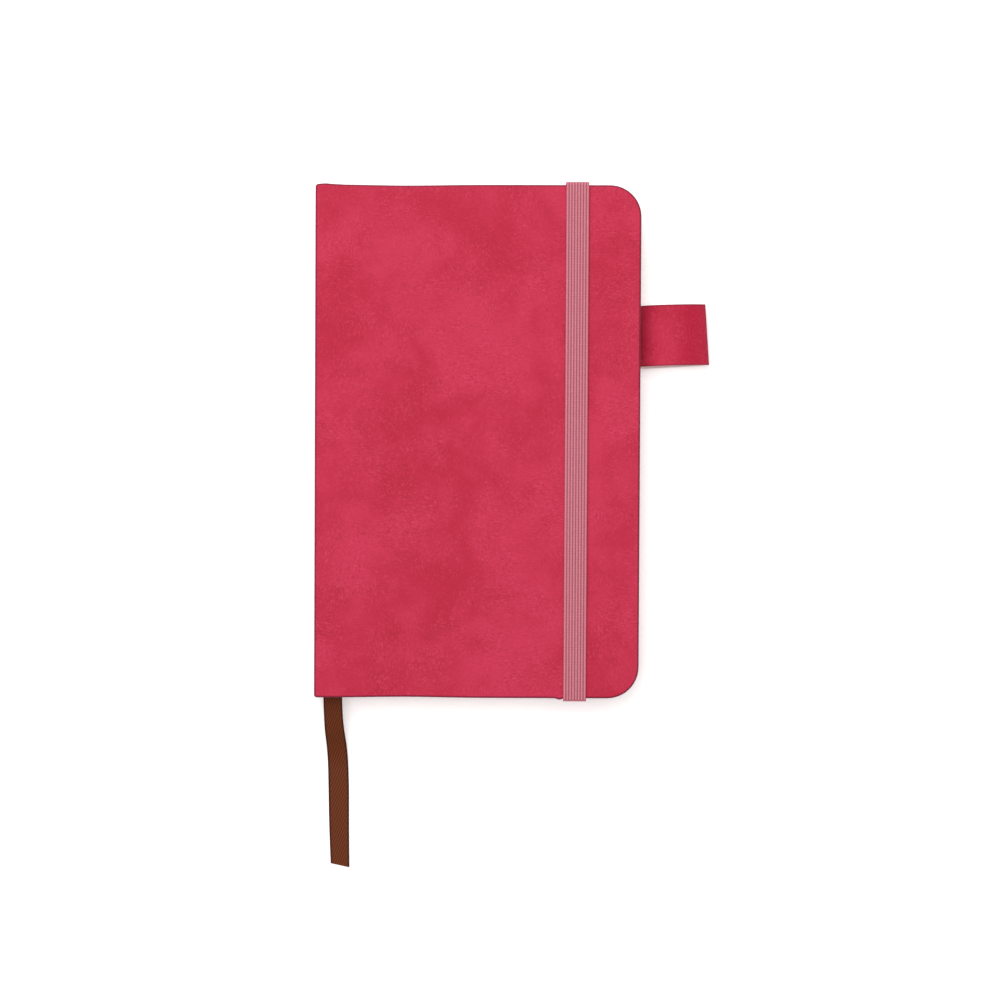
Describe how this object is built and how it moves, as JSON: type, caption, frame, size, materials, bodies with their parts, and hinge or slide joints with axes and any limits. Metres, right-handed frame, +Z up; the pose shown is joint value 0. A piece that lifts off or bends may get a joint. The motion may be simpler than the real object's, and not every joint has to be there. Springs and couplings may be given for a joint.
{
  "type": "pocket notebook",
  "caption": "Casebound pocket notebook with rounded fore-edge corners, elastic closure, fore-edge pen loop and ribbon marker.",
  "frame": {"origin": "middle of the back cover's outer face", "axes": "+X from the spine to the fore edge, +Y from the tail to the head, +Z up through the closed book to the front cover"},
  "size_m": [0.1094, 0.1911, 0.0148],
  "materials": {
    "cover_leatherette": "matte leatherette with a fine crease grain",
    "greyboard": "matte",
    "paper": "matte",
    "endpaper": "matte",
    "thread": "matte",
    "lining_cloth": "matte",
    "band_cloth": "matte",
    "ribbon": "twill",
    "elastic": "ribbed woven elastic"
  },
  "bodies": {
    "root": {"back_board": "greyboard", "wrap_back": "cover_leatherette", "wrap_back_crease": "cover_leatherette", "back_pastedown": "endpaper", "back_flyleaf": "endpaper", "signature_07": "paper", "signature_08": "paper", "signature_09": "paper", "signature_10": "paper", "signature_11": "paper", "signature_12": "paper", "sewing_thread": "thread", "spine_lining": "lining_cloth", "headband": "band_cloth", "ribbon_anchor": "ribbon", "ribbon_inner": "ribbon", "ribbon_tail": "ribbon", "elastic_anchor_head": "elastic", "elastic_anchor_tail": "elastic", "elastic_leg_head": "elastic", "elastic_leg_tail": "elastic", "pen_loop_anchor": "cover_leatherette"},
    "spine": {"spine_strip": "greyboard", "wrap_spine": "cover_leatherette", "wrap_front_crease": "cover_leatherette"},
    "front_cover": {"front_board": "greyboard", "wrap_front": "cover_leatherette", "front_pastedown": "endpaper"},
    "flyleaf": {"front_flyleaf": "endpaper"},
    "signature_01": {"signature_01": "paper"},
    "signature_02": {"signature_02": "paper"},
    "signature_03": {"signature_03": "paper"},
    "signature_04": {"signature_04": "paper"},
    "signature_05": {"signature_05": "paper"},
    "signature_06": {"signature_06": "paper"},
    "elastic": {"elastic_strand": "elastic"},
    "pen_loop": {"pen_loop": "cover_leatherette"}
  },
  "joints": [
    {"name": "front_cover_open", "type": "hinge", "parent": "spine", "child": "front_cover", "pos_m": [-0.0436, 0, 0.0126], "axis": [0, -1, 0], "range_deg": [0, 90], "deforming": ["wrap_front_crease"]},
    {"name": "spine_tip", "type": "hinge", "parent": "root", "child": "spine", "pos_m": [-0.0436, 0, 0.0014], "axis": [0, -1, 0], "range_deg": [0, 90], "deforming": ["wrap_back_crease"]},
    {"name": "flyleaf_turn", "type": "hinge", "parent": "root", "child": "flyleaf", "pos_m": [-0.04345, 0, 0.00705], "axis": [0, -1, 0], "range_deg": [0, 180]},
    {"name": "signature_01_turn", "type": "hinge", "parent": "root", "child": "signature_01", "pos_m": [-0.04345, 0, 0.00705], "axis": [0, -1, 0], "range_deg": [0, 179]},
    {"name": "signature_02_turn", "type": "hinge", "parent": "root", "child": "signature_02", "pos_m": [-0.04345, 0, 0.00705], "axis": [0, -1, 0], "range_deg": [0, 179]},
    {"name": "signature_03_turn", "type": "hinge", "parent": "root", "child": "signature_03", "pos_m": [-0.04345, 0, 0.00705], "axis": [0, -1, 0], "range_deg": [0, 179]},
    {"name": "signature_04_turn", "type": "hinge", "parent": "root", "child": "signature_04", "pos_m": [-0.04345, 0, 0.00705], "axis": [0, -1, 0], "range_deg": [0, 179]},
    {"name": "signature_05_turn", "type": "hinge", "parent": "root", "child": "signature_05", "pos_m": [-0.04345, 0, 0.00705], "axis": [0, -1, 0], "range_deg": [0, 179]},
    {"name": "signature_06_turn", "type": "hinge", "parent": "root", "child": "signature_06", "pos_m": [-0.04345, 0, 0.00705], "axis": [0, -1, 0], "range_deg": [0, 179], "deforming": ["spine_lining", "sewing_thread", "headband"]},
    {"name": "elastic_release", "type": "hinge", "parent": "root", "child": "elastic", "pos_m": [0.0345, 0, 0.0026], "axis": [0, 1, 0], "range_deg": [0, 90], "deforming": ["elastic_strand", "elastic_leg_head", "elastic_leg_tail"]},
    {"name": "pen_loop_flex", "type": "hinge", "parent": "root", "child": "pen_loop", "pos_m": [0.0452, 0, 0.0023], "axis": [0, -1, 0], "range_deg": [0, 30]}
  ],
  "couplings": [
    {"joint": "spine_tip", "follows": "front_cover_open", "ratio": 1},
    {"joint": "flyleaf_turn", "follows": "front_cover_open", "ratio": 1.995},
    {"joint": "signature_01_turn", "follows": "front_cover_open", "ratio": 1.99},
    {"joint": "signature_02_turn", "follows": "front_cover_open", "ratio": 1.98},
    {"joint": "signature_03_turn", "follows": "front_cover_open", "ratio": 1.968},
    {"joint": "signature_04_turn", "follows": "front_cover_open", "ratio": 1.955},
    {"joint": "signature_05_turn", "follows": "front_cover_open", "ratio": 1.94},
    {"joint": "signature_06_turn", "follows": "front_cover_open", "ratio": 1.92},
    {"joint": "elastic_release", "follows": "front_cover_open", "ratio": 1}
  ]
}
